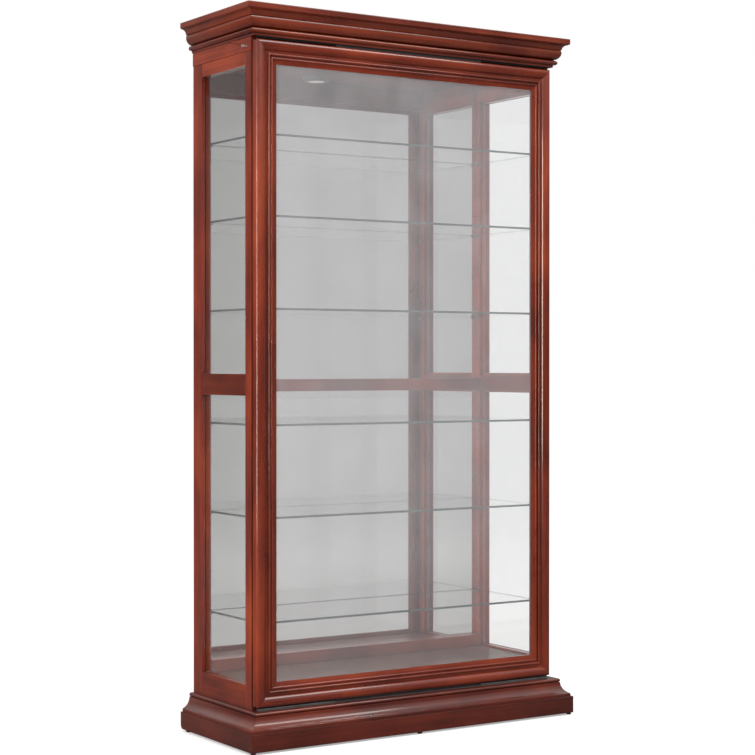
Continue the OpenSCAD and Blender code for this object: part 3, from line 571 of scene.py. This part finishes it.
def clear_glass(name, tint, ior, reflection_veil=0.0, reflection_veil_tint=(0.80, 0.81, 0.86)):
    """Clear glass, faintly smeared, with an optional painted reflection. Light that it would block goes
    straight through.
    """
    glass = bpy.data.materials.new(name)
    glass.use_nodes = True
    tree = glass.node_tree
    link = tree.links.new
    shader = tree.nodes["Principled BSDF"]
    out = tree.nodes["Material Output"]
    shader.inputs["Base Color"].default_value = (*tint, 1)
    shader.inputs["Transmission Weight"].default_value = 1.0
    shader.inputs["IOR"].default_value = ior
    place = tree.nodes.new("ShaderNodeTexCoord")
    smear = lay(tree, "ShaderNodeTexNoise", Scale=7.0, Detail=5.0, Distortion=0.8)
    link(place.outputs["Object"], smear.inputs["Vector"])
    gloss = lay(tree, "ShaderNodeMapRange", From_Min=0.45, From_Max=0.8, To_Min=0.0, To_Max=0.003)
    link(smear.outputs["Fac"], gloss.inputs["Value"])
    link(gloss.outputs["Result"], shader.inputs["Roughness"])
    last = shader.outputs[0]
    # Painted reflection: a pale diffuse veil, patchy and stronger higher up, stands in for reflections in
    # the glass.
    if reflection_veil:
        veil_shader = lay(tree, "ShaderNodeBsdfDiffuse", Color=(*reflection_veil_tint, 1))
        height = tree.nodes.new("ShaderNodeSeparateXYZ")
        link(place.outputs["Object"], height.inputs[0])
        spread = along_range(tree, height.outputs["Z"], 0.15, 0.7, reflection_veil * 0.5, reflection_veil)
        patches = along_range(tree, smear.outputs["Fac"], 0.3, 0.7, 0.88, 1.12)
        veiled_glass = tree.nodes.new("ShaderNodeMixShader")
        link(reckon(tree, "MULTIPLY", spread, patches), veiled_glass.inputs[0])
        link(last, veiled_glass.inputs[1])
        link(veil_shader.outputs[0], veiled_glass.inputs[2])
        last = veiled_glass.outputs[0]
    ray = tree.nodes.new("ShaderNodeLightPath")
    passing = reckon(tree, "MAXIMUM", ray.outputs["Is Shadow Ray"], ray.outputs["Is Diffuse Ray"])
    through = lay(tree, "ShaderNodeBsdfTransparent", Color=(*tint, 1))
    mixed = tree.nodes.new("ShaderNodeMixShader")
    link(passing, mixed.inputs[0])
    link(last, mixed.inputs[1])
    link(through.outputs[0], mixed.inputs[2])
    link(mixed.outputs[0], out.inputs["Surface"])
    return glass


side_panes = [side + half + "_glass" for side in ("left", "right") for half in ("_lower", "_upper")]
finish_in(clear_glass("side_pane_glass", (0.975, 0.98, 0.975), 1.45), *side_panes)
finish_in(stained_wood("stop_wood", "Z", *cherry_stain, 13.0), "side_glass_stops")
ease_edges(0.0005, "side_glass_stops")

# ---------- Shelf pegs ----------
# Four turned steel pegs under each shelf. Each is pushed into its hole in a post up to a thin
# collar, and the shelf lies on its end.


def peg_tree(name, paint, **sizes):
    """A tree that sets a collared peg on each point, pointing in towards the middle of the case."""
    tree, source, out = start_tree(name, **sizes)
    link = tree.links.new
    both = tree.nodes.new("GeometryNodeJoinGeometry")
    for radius, length, middle in (
        (source.outputs["Peg Radius"], source.outputs["Peg Length"], source.outputs["Peg Middle"]),
        (source.outputs["Collar Radius"], source.outputs["Collar Length"], source.outputs["Collar Middle"]),
    ):
        bar = tree.nodes.new("GeometryNodeMeshCylinder")
        bar.inputs["Vertices"].default_value = 20
        link(radius, bar.inputs["Radius"])
        link(length, bar.inputs["Depth"])
        moved = tree.nodes.new("GeometryNodeTransform")
        link(bar.outputs["Mesh"], moved.inputs["Geometry"])
        link(vector_of(tree, z=middle), moved.inputs["Translation"])
        link(moved.outputs[0], both.inputs[0])
    where = tree.nodes.new("GeometryNodeInputPosition")
    split = tree.nodes.new("ShaderNodeSeparateXYZ")
    link(where.outputs[0], split.inputs[0])
    inward = reckon(tree, "MULTIPLY", reckon(tree, "SIGN", split.outputs["X"]), -math.pi / 2)
    spread = tree.nodes.new("GeometryNodeInstanceOnPoints")
    link(source.outputs["Geometry"], spread.inputs["Points"])
    link(both.outputs[0], spread.inputs["Instance"])
    link(vector_of(tree, y=inward), spread.inputs["Rotation"])
    close_tree(tree, spread.outputs[0], paint, out)
    return tree


peg_steel = moulded("peg_steel", (0.30, 0.29, 0.28), 0.3, 1.0)
peg_low, peg_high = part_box("shelf_pins")
post_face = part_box("left_front_post")[1].x
peg_radius = 0.0025
peg_buried, peg_shown = post_face - peg_low.x, 0.010
shelves = ["shelf_%d" % number for number in range(1, 7)]
peg_levels = [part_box(name)[0].z - peg_radius for name in shelves]
peg_rows = (peg_low.y + peg_radius, peg_high.y - peg_radius)
peg_spots = [(x, y, z) for x in (post_face, -post_face) for y in peg_rows for z in peg_levels]
pegs = grow(
    "shelf_pegs",
    peg_tree(
        "shelf_pegs", peg_steel, Peg_Radius=peg_radius, Peg_Length=0.02, Peg_Middle=0.0,
        Collar_Radius=0.0036, Collar_Length=0.001, Collar_Middle=0.0005,
    ),
    peg_spots,
    peg_steel,
    Peg_Length=peg_buried + peg_shown,
    Peg_Middle=(peg_shown - peg_buried) / 2,
)
soften(pegs, 0.0003)
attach(pegs, "cabinet")
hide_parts("shelf_pins")

# ---------- Glass shelves ----------
# Six shelves of clear glass that lie loose on the pegs. Their edges are ground and polished, and
# look dark because the eye meets the full depth of the glass there.
shelf_glass = clear_glass("shelf_glass_clear", (0.99, 0.995, 0.99), 1.08)
shelf_tree = shelf_glass.node_tree
edge_green = (0.055, 0.075, 0.072, 1)
edge_shader = lay(shelf_tree, "ShaderNodeBsdfPrincipled", Base_Color=edge_green, Roughness=0.12)
face_side = shelf_tree.nodes.new("ShaderNodeTexCoord")
face_split = shelf_tree.nodes.new("ShaderNodeSeparateXYZ")
shelf_tree.links.new(face_side.outputs["Normal"], face_split.inputs[0])
upward = reckon(shelf_tree, "ABSOLUTE", face_split.outputs["Z"])
polished = along_range(shelf_tree, upward, 0.3, 0.8, 0.78, 0.0)
not_back = along_range(shelf_tree, face_split.outputs["Y"], 0.2, 0.7, 1.0, 0.1)
on_edge = reckon(shelf_tree, "MULTIPLY", polished, not_back)
edged = shelf_tree.nodes.new("ShaderNodeMixShader")
shelf_end = shelf_tree.nodes["Material Output"].inputs["Surface"]
shelf_body = shelf_end.links[0].from_socket
shelf_tree.links.new(on_edge, edged.inputs[0])
shelf_tree.links.new(shelf_body, edged.inputs[1])
shelf_tree.links.new(edge_shader.outputs[0], edged.inputs[2])
shelf_tree.links.new(edged.outputs[0], shelf_end)
finish_in(shelf_glass, *shelves)
ease_edges(0.0005, *shelves)

# ---------- Puck light ----------
# A shallow spun cup of grey satin enamel, screwed to the middle of the ceiling, with a frosted lens
# in its mouth.


def turned(name, outline, centre, paint):
    """Turns an outline of (radius, height) about an upright axis. Its ends may lie on the axis."""
    steps = 72
    shape = bmesh.new()
    rings = []
    for radius, height in outline:
        spots = steps if radius > 0 else 1
        rings.append([
            shape.verts.new((
                centre[0] + radius * math.cos(2 * math.pi * i / spots),
                centre[1] + radius * math.sin(2 * math.pi * i / spots),
                centre[2] + height,
            ))
            for i in range(spots)
        ])
    for below, above in zip(rings, rings[1:]):
        for i in range(steps):
            corners = [below[i % len(below)], below[(i + 1) % len(below)]]
            corners += [above[(i + 1) % len(above)], above[i % len(above)]]
            shape.faces.new(list(dict.fromkeys(corners)))
    bmesh.ops.recalc_face_normals(shape, faces=shape.faces)
    mesh = bpy.data.meshes.new(name)
    shape.to_mesh(mesh)
    shape.free()
    piece = plain_piece(name, mesh, paint)
    for polygon in mesh.polygons:
        polygon.use_smooth = True
    mesh.set_sharp_from_angle(angle=math.radians(40))
    return piece


grey_enamel = moulded("grey_enamel", (0.13, 0.13, 0.135), 0.36)
cup_low, cup_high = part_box("light_housing")
cup_radius = (cup_high.x - cup_low.x) / 2
cup_height = cup_high.z - cup_low.z
cup_centre = ((cup_low.x + cup_high.x) / 2, (cup_low.y + cup_high.y) / 2, cup_low.z)
cup_wall, cup_round, cup_ease = 0.002, 0.004, 0.0006
lens_low, lens_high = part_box("light_lens")
mouth = (lens_high.x - lens_low.x) / 2 - 0.0018
cup_outline = [(0, cup_height), (cup_radius - cup_ease, cup_height), (cup_radius, cup_height - cup_ease)]
for degrees in range(0, 91, 15):
    turn = math.radians(degrees)
    out, drop = cup_round * math.cos(turn), cup_round * math.sin(turn)
    cup_outline.append((cup_radius - cup_round + out, cup_round - drop))
cup_inside, cup_top = cup_radius - cup_wall, cup_height - cup_wall
cup_outline += [(mouth + cup_ease, 0), (mouth, cup_ease), (mouth, cup_wall)]
cup_outline += [(cup_inside, cup_wall), (cup_inside, cup_top), (0, cup_top)]
light_cup = turned("light_cup", cup_outline, cup_centre, grey_enamel)
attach(light_cup, "cabinet")
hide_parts("light_housing")

frosted = moulded("frosted_lens", (0.80, 0.79, 0.75), 0.55, 0.0, 240.0, 0.0003)
frosted_shader = frosted.node_tree.nodes["Principled BSDF"]
# Painted glow: the lens shines faintly warm on its own, though no lamp is lit in the puck.
frosted_shader.inputs["Emission Color"].default_value = (1.0, 0.96, 0.88, 1)
frosted_shader.inputs["Emission Strength"].default_value = 0.1
finish_in(frosted, "light_lens")

# ---------- Light switch ----------
# A push switch in the left frieze: its nickel barrel and nut show on the outside, with a round
# button that presses in.
finish_in(moulded("nickel", (0.62, 0.58, 0.52), 0.35, 1.0), "switch_body")
finish_in(moulded("satin_nickel", (0.88, 0.83, 0.78), 0.48, 1.0), "switch_button")
ease_edges(0.0004, "switch_body", "switch_button")

# ---------- Door slides ----------
# Two full-travel ball slides, on edge, under the door and over it: rolled steel rails, a carriage in
# each and balls in cages between them. The lower ones are zinc bright; the upper rails and cages are made
# black as painted shade.


def slide_steel(name, bright, rough, shade_black=(0.018, 0.017, 0.017)):
    """Zinc-plated rolled steel, faintly mottled, made black high in the case as painted shade."""
    paint = moulded(name, bright, rough, 1.0, 60.0)
    tree = paint.node_tree
    link = tree.links.new
    shader = tree.nodes["Principled BSDF"]
    place = tree.nodes.new("ShaderNodeTexCoord")
    split = tree.nodes.new("ShaderNodeSeparateXYZ")
    link(place.outputs["Object"], split.inputs[0])
    half_way_up = 1.0
    # Painted shade: above half way up, the steel is made black and not metallic.
    upper = reckon(tree, "GREATER_THAN", split.outputs["Z"], half_way_up)
    upper_shade_mix = tree.nodes.new("ShaderNodeMix")
    upper_shade_mix.data_type = "RGBA"
    plated = shader.inputs["Base Color"].links[0].from_socket
    link(upper, upper_shade_mix.inputs["Factor"])
    link(plated, upper_shade_mix.inputs[6])
    upper_shade_mix.inputs[7].default_value = (*shade_black, 1)
    link(upper_shade_mix.outputs[2], shader.inputs["Base Color"])
    link(reckon(tree, "SUBTRACT", 1.0, upper), shader.inputs["Metallic"])
    return paint


finish_in(slide_steel("slide_zinc", (0.36, 0.37, 0.37), 0.38), "slide_cabinet_rails", "slide_door_rails")
finish_in(moulded("black_enamel", (0.016, 0.015, 0.015), 0.42), "slide_carriages")
finish_in(slide_steel("ball_steel", (0.66, 0.66, 0.66), 0.18), "slide_cabinet_cages", "slide_door_cages")

# ---------- Door ----------
# Two stiles and two rails of one moulding, mitred like a picture frame, with a bead round the sight
# edge and a rebate behind it that holds one large pane.
door_stain = ((0.090, 0.0100, 0.0038), (0.180, 0.0215, 0.0068), (0.290, 0.0440, 0.0115))
door_frame = [("door_left_stile", "Z"), ("door_right_stile", "Z")]
door_frame += [("door_bottom_rail", "X"), ("door_top_rail", "X")]
for shift, (name, along) in enumerate(door_frame):
    finish_in(stained_wood(name + "_wood", along, *door_stain, 6.1 * shift + 12, gloss=0.22), name)
    ease_edges(0.0005, name)
# The door pane has a pale veil mixed in, stronger high up: a painted reflection.
finish_in(clear_glass("door_pane_glass", (0.985, 0.988, 0.99), 1.45, reflection_veil=0.12), "door_glass")
